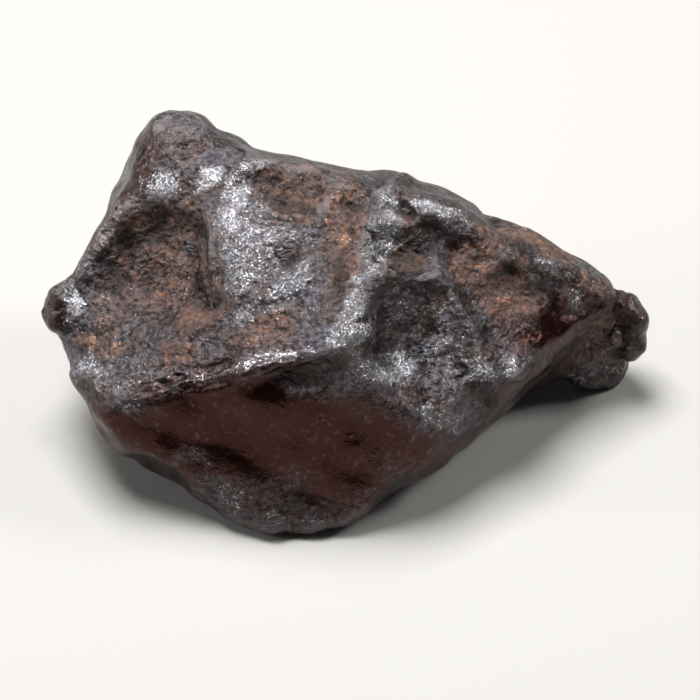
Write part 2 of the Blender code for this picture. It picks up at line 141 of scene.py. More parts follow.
# Facets of the broken body: each is a point and a facing, with the fillet to the facets before it
TOP = [
    (through(seen((-37.5, -8.7), 6), seen((-0.8, 1.8), 20), seen((-27, 27), 3.5)), 0),
    (through(seen((-0.8, 1.8), 20), seen((-0.8, 26.2), 7), seen((-22.5, 22.5), 6)), 6),
    (through(seen((3.3, 14.2), 16), seen((37.5, 12), -4.5), seen((13.5, -12.3), 10)), 4),
    (through(seen((-0.8, 26.2), 8), seen((37.5, 13.2), -4), seen((3.3, 16.5), 16)), 4),
]
FRONT = [
    (through(seen((-37.8, -9.3), 6), seen((-0.8, 0.8), 20), seen((-13.2, -28.9), 0.8)), 0),
    (through(seen((-0.8, 0.8), 20), seen((13.5, -12.3), 10), seen((-7.5, -29.7), 0.8)), 6),
    ((seen((25.5, -3.8), 1), facing(-38, 58)), 5),
]
SIDES = [
    (edge((-42.4, 10.5), (-29.7, 34.6), 84, -2), 3),
    (edge((-13.2, 29.7), (14.5, 24.6), 82, 0), 4),
    (edge((7.5, 28.8), (22.5, 21.3), 84, 0), 4),
    (edge((19.5, 23.4), (43.5, 10), 84, -5), 4),
    (edge((40.5, 12), (43.2, 0.8), 80, -12), 4),
    (edge((-37.5, -15), (-44.1, 0.4), 84, 0), 3),
    (edge((-13.2, -29.2), (-38.7, -12.3), 85, 0), 3),
    (edge((38.4, 0), (-2.2, -28.9), 88, -4), 3),
]
UNDER = [
    ((vec(0, 0, 1.3), vec(0, 0, -1)), 1.5),
    ((vec(-24, 13, 0), unit(vec(-0.30, 0.75, -0.6))), 6),
    ((vec(-33, -6, 0), unit(vec(-0.75, 0.1, -0.65))), 5),
    ((vec(-20, 31, 30), unit(vec(-0.1, 0.95, 0.05))), 5),
    ((vec(10, 28, 22), unit(vec(0.25, 0.95, 0.08))), 7),
    ((vec(24, 21, 10), unit(vec(0.3, 0.8, -0.35))), 6),
    ((vec(13, -7, 1), unit(vec(0.45, -0.35, -0.85))), 4),
]
CREST_FILLET = 0.9
# Steps of a walk to the body, and of one to the finished form
WALK_STEPS = 120
SKIN_STEPS = 150


def facets(p, group, d=None):
    """Largest distance from the facets of a group and d, filleted one after the other."""
    for (point, n), k in group:
        v = (p - point) @ n
        d = v if d is None else blend_max(d, v, k)
    return d


def body(p):
    """Distance from the facetted body: top and front meet in the crest, sides and underside close it."""
    return facets(p, SIDES + UNDER, blend_max(facets(p, TOP), facets(p, FRONT), CREST_FILLET))


def slope_of(distance, p, e=0.3):
    """Unit rows in which a distance grows fastest."""
    n = np.stack([distance(p + step) - distance(p - step) for step in e * np.eye(3)], 1)
    return n / np.linalg.norm(n, axis=1)[:, None]


def meet(start, step):
    """Goes from start along step (unit rows) to the body; returns the points and the facings there."""
    t = np.zeros(len(start))
    for _ in range(WALK_STEPS):
        gap = body(start + step * t[:, None])
        t += np.where(gap > 0.003, np.maximum(gap * 0.75, 0.004), 0.0)
    p = start + step * t[:, None]
    return p, slope_of(body, p)


def on_face(*places):
    """Points and facings of the body where the eye sees the places."""
    far = np.array([seen(q, 45) for q in places])
    step = np.array([seen(q, 0) for q in places]) - far
    return meet(far, step / np.linalg.norm(step, axis=1)[:, None])


def on_side(target, heading):
    """Point and facing of the body met on the way in to target from heading."""
    h = unit(vec(*heading))
    return meet((vec(*target) + 60 * h)[None], -h[None])


def set_up(n, spin):
    """Axes of a feature: along, across and out; along is turned by spin degrees from level."""
    level = np.cross(vec(0, SLOPE, SLOPE), n)
    if np.linalg.norm(level) < 0.2:
        level = vec(1, 0, 0)
    level = unit(level - n * (level @ n))
    s = radians(spin)
    along = level * cos(s) + np.cross(n, level) * sin(s)
    return np.stack([along, np.cross(n, along), n])


class Scoop:
    """Hollow of an ellipsoid pressed into the skin at a spot.

    along and across are the half widths of its mouth, flat goes from a half ball (0) to a shallow dish (1),
    k rounds the rim and lift moves the hollow out of the skin.
    """

    proud = False

    def __init__(self, spot, along, across, depth, spin=0, flat=0.5, k=1.2, lift=0):
        points, facings = spot if isinstance(spot[0], np.ndarray) else on_face(spot)
        radius = depth / (1 - flat)
        spread = 1 / sqrt(1 - flat * flat)
        self.radii = vec(along * spread, across * spread, radius)
        self.centre = points[0] + facings[0] * (lift + radius * flat * (-1 if self.proud else 1))
        self.axes = set_up(facings[0], spin)
        self.k = k

    def cut(self, p, d):
        """Larger of the distance and minus the ellipsoid's, or the smaller of both where it is proud."""
        v = p - self.centre
        m = np.where((v * v).sum(1) < (self.radii.max() + self.k + 1) ** 2)[0]
        if len(m):
            q = v[m] @ self.axes.T / self.radii
            r = np.linalg.norm(q, axis=1)
            e = np.maximum(r * (r - 1) / (np.linalg.norm(q / self.radii, axis=1) + 1e-9), -self.radii.min())
            d[m] = blend_min(d[m], e, self.k) if self.proud else blend_max(d[m], -e, self.k)
        return d


class Bump(Scoop):
    """The same ellipsoid standing proud."""

    proud = True


class Lump(Bump):
    """Whole ellipsoid with its centre at a point, turned about the upright axis and tipped up by rise."""

    def __init__(self, centre, radii, k, turn=0, rise=0):
        self.centre, self.radii, self.k = vec(*centre), vec(*radii), k
        t, r = radians(turn), radians(rise)
        along = vec(cos(t) * cos(r), sin(t) * cos(r), sin(r))
        across = vec(-sin(t), cos(t), 0)
        self.axes = np.stack([along, across, np.cross(along, across)])


class Swell:
    """Smooth bell-shaped swelling, or a dip when the height is negative."""

    def __init__(self, spot, along, across, height, spin=0):
        points, facings = spot if isinstance(spot[0], np.ndarray) else on_face(spot)
        self.centre, self.axes = points[0], set_up(facings[0], spin)
        self.radii = vec(along, across, max(along, across, 5))
        self.height = height

    def cut(self, p, d):
        """Takes a bell, height times (1 - r^2 / 2.9)^3, off the distance."""
        v = p - self.centre
        m = np.where((v * v).sum(1) < (self.radii.max() * 1.7) ** 2)[0]
        q = (v[m] @ self.axes.T) / self.radii
        d[m] -= self.height * np.maximum(1 - (q * q).sum(1) / 2.9, 0) ** 3
        return d


class Nudge(Swell):
    """Round swelling, or a dip, about a place and depth; it trims the outline."""

    def __init__(self, place, toward, radius, height):
        self.centre, self.axes = seen(place, toward), np.eye(3)
        self.radii = vec(radius, radius, radius)
        self.height = height


class Crease:
    """Ridge, or a groove when the height is negative, along places on the skin; it fades at both ends.

    sharp goes from a round section (0) to a cusp (1).
    """

    def __init__(self, places, width, height, sharp):
        self.points, _ = on_face(*places)
        self.width, self.height, self.sharp = width, height, sharp
        self.middle = self.points.mean(0)
        self.far = np.linalg.norm(self.points - self.middle, axis=1).max() + width
        self.lengths = np.linalg.norm(np.diff(self.points, axis=0), axis=1)
        self.starts = np.concatenate([[0], np.cumsum(self.lengths)])

    def cut(self, p, d):
        """Takes a rounded bar along the polyline, height at its middle and 0 at width, off the distance."""
        v = p - self.middle
        m = np.where((v * v).sum(1) < self.far ** 2)[0]
        q = p[m]
        off = np.full(len(m), 1e9)
        along = np.zeros(len(m))
        for i, (a, b) in enumerate(zip(self.points[:-1], self.points[1:])):
            h = np.clip((q - a) @ (b - a) / self.lengths[i] ** 2, 0, 1)
            away = q - a - h[:, None] * (b - a)
            r = np.linalg.norm(away, axis=1)
            nearer = r < off
            off = np.where(nearer, r, off)
            along = np.where(nearer, self.starts[i] + h * self.lengths[i], along)
        s = along / self.starts[-1]
        fade = np.clip(4 * np.minimum(s, 1 - s), 0, 1)
        fade = fade * fade * (3 - 2 * fade)
        x = np.clip(off / self.width, 0, 1)
        d[m] -= self.height * fade * ((1 - x * x) ** 2 * (1 - self.sharp) + (1 - x) ** 2 * self.sharp)
        return d


FEATURES = [
    # knob at the upper left and its shoulder
    Lump((-25.4, 23.8, 32.3), (6.8, 9, 12.0), 5),
    Lump((-18.3, 21.5, 34.9), (6.0, 6, 6.0), 4),
    # far left end
    Lump((-40.9, 4.5, 22.4), (5.8, 5.0, 4.4), 2, 0, 10),
    # right end: neck, foot and crust
    Lump((37, 12.5, 9), (7.4, 5.0, 8), 3, 20),
    Lump((38.6, 11.6, 3.0), (5.2, 3.4, 3.6), 1.5, 20),
    Lump((43.4, 12.8, 12.8), (2.4, 3.4, 5.4), 1.5),
    Lump((41.6, 12.6, 17.2), (2.4, 2.0, 2.2), 0.7, 40, 30),
    Lump((44.4, 11.4, 13.8), (1.7, 2.3, 2.6), 0.6, -20),
    Lump((43.9, 10.4, 9.4), (2.0, 1.7, 2.8), 0.6, 30),
    Lump((41.0, 9.0, 12.4), (1.3, 1.2, 2.4), 0.5, 0, 0),
    # worn feet at the front and at the back
    Lump((-9.0, -15.9, 2.6), (9.5, 4.6, 3.2), 2.5, -6),
    Lump((-15.0, 15.0, 4.6), (9.5, 6.5, 5.0), 6.0, 25),
    # big pit at the left: bowl, deep corner, floor that runs out to the left, steep right wall and ribs
    Scoop((-30, 13.2), 11.6, 9.0, 5.6, 25, 0.4, 1.3),
    Scoop((-26.7, 9), 7.0, 6.0, 2.6, 60, 0.5, 1.6),
    Scoop((-34.8, 5.7), 10.5, 6.5, 1.8, 30, 0.6, 3.0),
    Scoop((-21.9, 9.6), 5.4, 3.6, 1.8, 80, 0.4, 1.2, -0.6),
    Crease([(-29.7, 19.2), (-27.6, 17.4), (-25.8, 15.6), (-24.3, 13.2), (-24, 10.5)], 1.7, 1.0, 0.5),
    Crease([(-31.5, 13.2), (-29.1, 11.1), (-26.7, 9.9), (-24.6, 8.1)], 1.5, 0.7, 0.5),
    Crease([(-36.3, 8.7), (-34.2, 6.9), (-32.7, 4.8), (-30.6, 3.6)], 1.2, -0.7, 0.6),
    Crease([(-23.1, 21.6), (-20.4, 19.2), (-21.1, 15.3), (-21.3, 11.7), (-19.1, 6.6)], 1.9, 1.4, 0.5),
    # bright rim along the pit's left side
    Crease([(-32.1, 22.5), (-34.8, 20.4), (-36.9, 17.4), (-39, 13.2), (-41.1, 8.7)], 2.2, 0.9, 0.5),
    # upper middle pit, two hollows with a low bar between them, and its left lip
    Scoop((-10.8, 24), 6.2, 4.4, 1.9, -20, 0.5, 0.9),
    Scoop((-6.3, 24.9), 4.6, 3.6, 1.5, 10, 0.5, 1.2),
    Crease([(-11.1, 28.5), (-14.7, 27.4), (-16.8, 25.2), (-17.8, 22.2), (-18.1, 18.9)], 2.0, 1.0, 0.6),
    Crease([(-15, 23.1), (-12.3, 21.9), (-9.6, 21), (-6.6, 19.6)], 1.4, 0.6, 0.5),
    # high ground, the valley in it and the ridge below the valley
    Swell((-14.7, 14.7), 8, 7, 1.4, -60),
    Scoop((-7.8, 14.1), 6.0, 2.4, 1.0, 42, 0.6, 1.8),
    Swell((-11.7, 3), 8, 4.5, -1.0, 10),
    Crease([(-18, 4.8), (-14.1, 7.5), (-11.1, 9), (-7.8, 11.7), (-4.8, 15.9)], 3.0, 1.0, 0.5),
    Crease([(-15, 4.8), (-12.9, 6), (-9.9, 7.2), (-6.9, 9)], 1.1, -0.6, 0.5),
    # saddle
    Scoop((-0.8, 17.2), 10, 4.0, 2.2, 82, 0.6, 2.0),
    # hood with a rounded brow and the small pit on it
    Lump((10.5, 8.5, 34.5), (8.0, 5.5, 5.0), 3, 0, -14),
    Swell((13.5, 20.7), 8, 4, 1.6, -25),
    Crease([(9, 22.8), (12, 21.8), (15, 20.6), (18.3, 21.4), (20.4, 19.6)], 2.2, 1.4, 0.5),
    Scoop((6.9, 20.1), 3.0, 2.4, 0.9, 40, 0.5, 1.0),
    # cave below the hood: a deep hollow, and a smooth one to its right with a sharp bowed lip
    Scoop((8.7, 15.3), 6.4, 4.6, 4.4, -20, 0.4, 0.9),
    Scoop((12, 17.1), 5.2, 2.4, 1.8, -12, 0.5, 1.0),
    Scoop((16.8, 14.1), 6.6, 4.4, 1.7, -12, 0.6, 0.9),
    Crease([(12.6, 16.5), (12.2, 14.4), (12.8, 12.3), (14.7, 10.8), (17.4, 10.3)], 1.3, 0.7, 0.7),
    Crease([(12.9, 18), (15.6, 18.9), (18.9, 17.7), (21.6, 15.6)], 1.7, 0.8, 0.6),
    # right pit: a wide bowl, its deep corner and a sharp upper right rim
    Scoop((21.6, 8.1), 9.0, 6.4, 1.8, 15, 0.65, 2.0),
    Scoop((24.3, 9.9), 5.0, 4.2, 2.0, -50, 0.45, 0.8),
    Crease([(21.9, 15.4), (24.9, 14.1), (27.4, 12.3), (28.6, 10.2), (29.2, 7.2)], 1.8, 1.2, 0.7),
    # horn and the dished facet below it
    Swell((30.9, 11.4), 4.4, 2.8, 1.6, -35),
    Scoop((32.4, 6.6), 8.0, 5.4, 1.1, 16, 0.75, 0.9),
    Crease([(35.4, 12.3), (37.5, 10.2), (39.3, 8.1), (40.8, 6.3)], 1.5, 0.4, 0.6),
    # hammered hollow with its steps
    Scoop((9.6, 1.2), 11.5, 8.6, 3.2, -50, 0.7, 1.6),
    Scoop((6, 5.7), 4.6, 3.6, 1.2, 30, 0.6, 0.9),
    Scoop((12.9, -3.3), 5.4, 3.4, 1.0, -50, 0.6, 0.9),
    Scoop((13.2, 4.8), 4.8, 3.8, 1.0, 10, 0.6, 0.9),
    # its right edge: a broad ridge down to a smooth knob, and a groove beside it
    Crease([(4.5, 11.7), (7.8, 11.5), (11.7, 11.1), (15, 9.9), (17.4, 6)], 1.8, 0.8, 0.6),
    Crease([(15, 9.9), (17.4, 5.1), (19.5, 0.9), (21.3, -2.1), (23.7, -4.5)], 3.0, 1.6, 0.4),
    Crease([(15.3, 0.3), (17.1, -3.3), (19.5, -6.9), (21.9, -9.6)], 1.8, -1.3, 0.5),
    Bump((24.8, -2.7), 3.2, 2.5, 1.7, 30, 0.4, 0.9),
    # rim between the high ground, the saddle and the hammered hollow
    Crease([(-2.1, 0.6), (-0.6, 4.8), (2.1, 8.1), (4.2, 11.7), (3.1, 15)], 1.9, 1.6, 0.7),
    Crease([(5.2, 13.2), (4.5, 17.1), (4.8, 21.6), (6.9, 24.3), (10.5, 24.9)], 2.1, 1.8, 0.4),
    # crest: bright knob at its peak, a lip to its left, and a long split flake
    Bump((0.3, 2.4), 2.8, 1.5, 1.0, 10, 0.5, 0.8),
    Crease([(-18.3, -3.9), (-13.2, -2.7), (-9, -2.1), (-5.4, -0.9), (-1.5, 0.6)], 1.6, 1.1, 0.7),
    Crease([(-33, -7.5), (-27.8, -5.1), (-23.1, -3), (-16.2, -0.4)], 1.2, -1.0, 0.6),
    Crease([(-30.6, -7.8), (-26.1, -6), (-21.6, -3.9), (-15.9, -1.8)], 1.1, 0.7, 0.6),
    Crease([(-32.1, -8.8), (-27.3, -7.3), (-22.5, -5.4), (-17.7, -3.3)], 1.0, -0.7, 0.6),
    # front: rough dip below the crest, a faint flake scar near the foot
    Swell((-7.5, -4.2), 8, 2.5, -1.2, 13),
    Crease([(-27.8, -17.7), (-22.8, -15.3), (-19.8, -15.6), (-14.1, -19.2), (-6, -24.3)], 1.4, 0.08, 0.4),
    Crease([(-21, -20.4), (-17.7, -21.3), (-14.7, -23.1), (-10.5, -23.7)], 1.4, 0.12, 0.4),
    # neck of the right end: a thin edge above its hollow
    Crease([(31.5, 1.8), (35.2, 3.4), (38.4, 4.8), (40.8, 6.3)], 1.4, 0.5, 0.7),
    Nudge((37.5, 0.3), -8.0, 4.0, -1.1),
    # outline, clockwise from the left end
    Nudge((-46.5, 5.1), 0, 3.0, -0.6),
    Nudge((-44.2, 10), -1, 3.5, 1.0),
    Nudge((-41.7, 12.3), -1, 3.5, -0.5),
    Nudge((-36, 22.5), -3, 4.0, -0.8),
    Nudge((-34.6, 25.5), -4, 4.0, -0.8),
    Nudge((-22.1, 35.4), -4, 4.0, -0.5),
    Nudge((-13.2, 30.3), -5, 5.0, -0.9),
    Nudge((-1.1, 27.6), -3, 5.0, -1.3),
    Nudge((15.8, 23.7), -4, 4.5, 0.8),
    Nudge((41.7, 8.2), -10, 3.0, -0.9),
    Nudge((44.2, 0.8), -13, 3.0, 0.7),
    Nudge((36.3, -5.7), -17, 4.5, -1.4),
    Nudge((30.3, -4.6), -9, 5.0, -1.7),
    Nudge((26.4, -6.5), -5, 5.0, -1.3),
    Nudge((22.5, -9.9), -4, 4.5, -0.7),
    Nudge((14.1, -17.6), 1, 4.0, 0.5),
    Nudge((6.3, -21.9), 1, 4.5, -1.4),
    Nudge((-28.5, -18.8), 0, 4.5, -1.3),
    Nudge((-36.8, -14.1), -1, 4.0, 1.0),
    Nudge((-39.6, -8.2), 4, 4.0, -0.6),
    Nudge((-43.5, 0), -1, 4.0, -1.1),
    # underside: hollows between the feet
    Scoop(on_side((13, 1, 6), (0, 0, -1)), 18, 9, 2.6, 25, 0.6, 2.0),
    Scoop(on_side((-22, 0, 6), (0, 0, -1)), 9, 8, 2.0, 40, 0.5, 1.5),
    Scoop(on_side((-6, 6, 6), (0, 0, -1)), 12, 7.5, 1.8, 160, 0.5, 1.5),
    # back: thumbprints with ridges between them
    Scoop(on_side((-17, 8, 21), (-0.15, 1, 0.0)), 8.5, 7.5, 2.6, 20, 0.5, 0.9),
    Scoop(on_side((-1, 8, 24), (0.0, 1, 0.15)), 7.0, 9.5, 2.6, -25, 0.5, 0.9),
    Scoop(on_side((14, 8, 17), (0.15, 1, 0.0)), 8.5, 6.5, 2.4, 15, 0.5, 0.9),
    Scoop(on_side((-30, 8, 22), (-0.8, 0.6, 0.1)), 7.0, 8.0, 2.2, -20, 0.5, 0.9),
    Scoop(on_side((5, 8, 9), (0.0, 1, -0.3)), 10, 5.5, 2.2, 8, 0.55, 0.9),
    Scoop(on_side((27, 9, 18), (0.2, 1, 0.3)), 6.5, 4.5, 1.6, -15, 0.5, 0.8),
    Scoop(on_side((-30, -2, 12), (-0.9, -0.1, -0.35)), 7.5, 6.0, 1.8, 10, 0.5, 0.9),
    Scoop(on_side((20, 8, 26), (0.3, 1, 0.6)), 6.0, 4.0, 1.4, 30, 0.5, 0.8),
    Scoop(on_side((-12, 8, 12), (-0.1, 1, -0.2)), 5.0, 7.0, 1.6, 35, 0.5, 0.8),
    Swell(on_side((-24, 10, 16), (-0.3, 1, -0.2)), 6, 3, 1.2, 30),
    Swell(on_side((-9, 10, 14), (0, 1, 0)), 7, 4, 1.2, 60),
]


def rock(p):
    """Distance of points from the skin of the stone, in millimetres, negative inside."""
    bent = bend(p, BENDS, 10)
    d = body(bent)
    bent = bend(bent, FEATURE_BENDS, 50)
    for feature in FEATURES:
        d = feature.cut(bent, d)
    return d


# Skin of quads. Directions leave a spine inside the stone, more densely toward the eye's side
SPINE_MIDDLE = np.array([2.0, 6.7, 16.5])
SPINE_HALF = np.array([32.0, 3.7, -4.5])
CROWDING = 0.3
REACH = 70.0
COARSE_CELLS = 31
FINE_PER_COARSE = 4
QUICK_PER_COARSE = 2
EASINGS = 14
LAST_EASINGS = 2


def cube_sides(cells):
    """Directions (six sides of a cube, rows, columns, 3) at equal angles along the two parameters."""
    t = np.tan(np.linspace(-pi / 4, pi / 4, cells + 1))
    u, v = np.meshgrid(t, t, indexing="ij")
    one = np.ones_like(u)
    sides = np.array([
        np.stack([one, u, v], -1), np.stack([-one, -u, v], -1),
        np.stack([-u, one, v], -1), np.stack([u, -one, v], -1),
        np.stack([-v, u, one], -1), np.stack([v, u, -one], -1),
    ])
    return sides / np.linalg.norm(sides, axis=-1, keepdims=True)


def merged(cells):
    """Merged point of each grid point of the six sides, the first grid point of each, and the quads."""
    grid = cube_sides(cells).reshape(-1, 3)
    _, first, index = np.unique(np.round(grid, 6), axis=0, return_index=True, return_inverse=True)
    index = index.reshape(6, cells + 1, cells + 1)
    quads = np.stack([index[:, :-1, :-1], index[:, 1:, :-1], index[:, 1:, 1:], index[:, :-1, 1:]], -1)
    return index, first, quads.reshape(-1, 4)


def first_met(directions):
    """Outermost point of the stone along each direction from the spine, walking in from outside."""
    base = SPINE_MIDDLE + directions[:, :1] * SPINE_HALF
    way = directions + CROWDING * EYE_SIDE
    way /= np.linalg.norm(way, axis=1)[:, None]
    far = np.full(len(way), REACH)
    walking = np.arange(len(way))
    for _ in range(SKIN_STEPS):
        gap = rock(base[walking] + way[walking] * far[walking, None])
        walking, gap = walking[gap > 0.01], gap[gap > 0.01]
        far[walking] -= np.maximum(0.6 * gap, 0.01)
    return base + way * far[:, None]


def neighbours_mean(points, quads):
    """Mean of each point's neighbours along the quads' edges."""
    a = quads.ravel()
    b = np.roll(quads, -1, axis=1).ravel()
    a, b = np.concatenate([a, b]), np.concatenate([b, a])
    count = np.bincount(a, minlength=len(points))
    total = np.stack([np.bincount(a, points[b, i], len(points)) for i in range(3)], 1)
    return total / count[:, None]


def onto_skin(points, rounds=2):
    """Moves points along the form's slope until they lie on it; returns them and the slopes."""
    for _ in range(rounds):
        d = rock(points)
        e = 0.15
        slope = np.stack([rock(points + step) for step in e * np.eye(3)], 1) - d[:, None]
        slope /= np.linalg.norm(slope, axis=1)[:, None] + 1e-9
        points = points - slope * np.clip(d, -0.6, 0.6)[:, None]
    return points, slope


def eased(points, quads, rounds):
    """Evens out the spacing: points drift toward their neighbours' mean along the skin."""
    for _ in range(rounds):
        points, slope = onto_skin(points, 1)
        move = neighbours_mean(points, quads) - points
        move -= slope * (move * slope).sum(1)[:, None]
        points = points + 0.6 * move
    return points


def between(values, times):
    """Grid values (sides, rows, columns, 3) filled in with straight lines to times as many cells."""
    def along(v):
        """The same along the rows alone."""
        t = (np.arange(times) / times)[None, None, :, None, None]
        filled = v[:, :-1, None] * (1 - t) + v[:, 1:, None] * t
        filled = filled.reshape(v.shape[0], -1, v.shape[2], 3)
        return np.concatenate([filled, v[:, -1:]], 1)
    return along(along(values).transpose(0, 2, 1, 3)).transpose(0, 2, 1, 3)


def stone_skin(quick):
    """Points and quads of the stone: a cube's six sides drawn onto the form, evened out, then refined."""
    index, first, quads = merged(COARSE_CELLS)
    points = first_met(cube_sides(COARSE_CELLS).reshape(-1, 3)[first])
    points = eased(points, quads, EASINGS)
    times = QUICK_PER_COARSE if quick else FINE_PER_COARSE
    fine = between(points[index], times)
    _, first, quads = merged(COARSE_CELLS * times)
    points = fine.reshape(-1, 3)[first]
    points, _ = onto_skin(points, 3)
    points = eased(points, quads, LAST_EASINGS)
    return onto_skin(points, 1)[0], quads


# Random numbers for cubes of space, a power of two
TABLE_SIZE = 4096


def pick(cells):
    """Place in the table of each cube, from its whole numbers mixed up, the same in every run."""
    return (cells[:, 0] * 73856093 ^ cells[:, 1] * 19349663 ^ cells[:, 2] * 83492791) & (TABLE_SIZE - 1)


def noise(p, size, seed):
    """Smooth random field, -1 to 1: random numbers at the corners of cubes of a size, blended across."""
    table = np.random.default_rng(seed).uniform(-1, 1, TABLE_SIZE)
    q = p / size
    cell = np.floor(q).astype(np.int64)
    f = q - cell
    f = f * f * f * (f * (6 * f - 15) + 10)
    total = np.zeros(len(p))
    for corner in itertools.product((0, 1), repeat=3):
        total += table[pick(cell + corner)] * np.prod(np.where(corner, f, 1 - f), axis=1)
    return total


def layered(p, size, seed, layers=3):
    """Noise with finer and weaker noise on it, each layer half the size and height."""
    return sum(noise(p, size / 2 ** i, seed + i) / 2 ** i for i in range(layers)) / 1.6


def dents(p, size, seed):
    """Distance from the nearest random point, one in each cube of a size: 0 at a point, near 1 between."""
    table = np.random.default_rng(seed).uniform(0, 1, (TABLE_SIZE, 3))
    q = p / size
    cell = np.floor(q).astype(np.int64)
    nearest = np.full(len(p), 9.0)
    for step in itertools.product((-1, 0, 1), repeat=3):
        away = cell + step + table[pick(cell + step)] - q
        nearest = np.minimum(nearest, (away * away).sum(1))
    return np.sqrt(nearest)


def ramp(x, low, high):
    """0 below low, 1 above high, smooth between."""
    t = np.clip((x - low) / (high - low), 0, 1)
    return t * t * (3 - 2 * t)


def place_of(points):
    """Where the eye sees points: across and up on the plane, the reverse of seen()."""
    up = SLOPE * (points[:, 1] + points[:, 2] - PLANE_HEIGHT)
    toward = SLOPE * (points[:, 2] - PLANE_HEIGHT - points[:, 1])
    near = (EYE_DISTANCE - toward) / EYE_DISTANCE
    return points[:, 0] / near, up / near


def patches(points, facings, spots, size, seed, share):
    """Soft-edged ovals where the eye sees them: (place, (half width, half height), turn, strength) each.
    Out of its sight, clouds of a size in mm that cover about a share of the skin."""
    x, y = place_of(points)
    x = x + 1.6 * layered(points, 4.0, 301)
    y = y + 1.6 * layered(points, 4.0, 305)
    total = np.zeros(len(points))
    for place, radii, turn, strength in spots:
        c, s = cos(radians(turn)), sin(radians(turn))
        u, v = x - place[0], y - place[1]
        r = np.hypot((u * c + v * s) / radii[0], (v * c - u * s) / radii[1])
        total = np.maximum(total, strength * ramp(-r, -1.45, -0.55))
    clouds = ramp(layered(points, size, seed), 0.35 - share, 0.75 - share)
    in_sight = ramp(facings @ EYE_SIDE, -0.25, 0.1)
    return total * in_sight + 0.8 * clouds * (1 - in_sight)


# Patches of the skin, each a place, half widths, turn and strength. Rust keeps to the hollows
RUSTY = [
    ((-30, 12), (7.5, 7.5), 20, 0.6),
    ((-28.5, 19.2), (9, 3.6), -5, 0.7),
    ((-20.8, 13.8), (1.8, 6), 5, 0.9),
    ((-38.9, 1.5), (2.8, 1.4), -10, 1.0),
    ((-35.1, 0), (2.2, 1.0), 10, 0.9),
    ((-26.2, -0.6), (3.4, 2.0), 30, 0.9),
    ((-22.5, 4.8), (3.6, 2.0), 20, 0.9),
    ((-36, 7.5), (4.5, 5), 0, 0.5),
    ((-8.7, 24.6), (6.8, 4.2), -5, 0.7),
    ((-10.5, 21.1), (5, 0.9), -22, 0.8),
    ((-0.8, 17.7), (3.6, 10), 4, 0.7),
    ((-25.8, 30.8), (5, 4.5), 0, 0.4),
    ((-12.8, 3), (6, 3.6), 15, 0.6),
    ((6.8, 20.1), (2.0, 1.8), 0, 0.9),
    ((7.8, 13.2), (4, 1.6), 5, 0.9),
    ((19.5, 12), (5, 3.5), -35, 0.8),
    ((23.8, 8.5), (5.4, 5.4), 20, 1.0),
    ((28.5, 15.8), (7, 1.8), -28, 0.8),
    ((20.4, 17.1), (5, 1.8), -30, 0.6),
    ((36.9, 9.9), (4, 1.6), -30, 0.6),
    ((37.8, 0.8), (3.6, 5), 20, 0.5),
    ((7.5, -18), (6, 2.4), -20, 0.25),
]
# Smooth dark oxide skin
POLISHED = [
    ((-14.7, -11.7), (25, 9.6), 9, 1.0),
    ((-15, -20.1), (18, 6), -5, 0.5),
    ((3, -13.5), (16, 9), 20, 1.0),
    ((9, -17.2), (12, 4), 35, 0.9),
    ((-34.5, -12.8), (7, 4.5), -30, 1.0),
    ((-45.3, 3.8), (2.6, 4.5), 0, 0.55),
    ((-33, 24), (13, 2.4), 66, 0.7),
    ((33, 3.8), (9, 5), 15, 1.0),
    ((25.5, -7.5), (12, 3), 38, 1.0),
    ((16.9, 15), (3.4, 2.4), -5, 0.9),
    ((31.5, 11.1), (3.0, 1.6), -30, 0.4),
    ((43.5, 2.2), (2, 5), 0, 0.6),
]
# Coarse bumpy skin
HAMMERED = [
    ((9.8, 1.5), (12.5, 9.5), -42, 1.0),
    ((14.4, -9), (5, 3.5), -10, 1.0),
    ((12, 21.8), (8, 3.0), -14, 0.8),
    ((33.8, 7.5), (2.5, 2.5), 0, 0.7),
    ((-3.9, -5), (6.5, 2.2), 2, 0.85),
    ((-17.7, -21.6), (5, 2.2), -20, 0.5),
    ((-23.1, -16.2), (4, 1.2), -5, 0.4),
    ((37.5, -3.8), (5, 1.5), 8, 0.8),
]
# Dark patches in the deepest hollows: dirt together with painted shade, as in the cave under the hood
DIRT_AND_SHADE = [
    ((10.2, 16.1), (3.8, 2.6), -10, 0.9),
    ((-21.6, 9), (2.2, 3.6), 0, 0.8),
    ((-28.5, 19.2), (7, 2.0), -5, 0.3),
    ((27.3, 12.6), (4, 1.3), -50, 0.9),
    ((15.8, 16.5), (3.5, 1.2), 0, 0.7),
    ((7.8, 9), (6, 2.2), 0, 0.6),
    ((-6, -3.9), (7, 0.9), 10, 0.4),
    ((18, -4.2), (1.3, 5), 38, 0.7),
    ((-9.8, 25.8), (5, 1.6), -10, 0.5),
    ((-34.2, 6.9), (3, 1.2), -40, 0.6),
    ((40.5, 4.8), (1.0, 3.0), 0, 0.6),
]
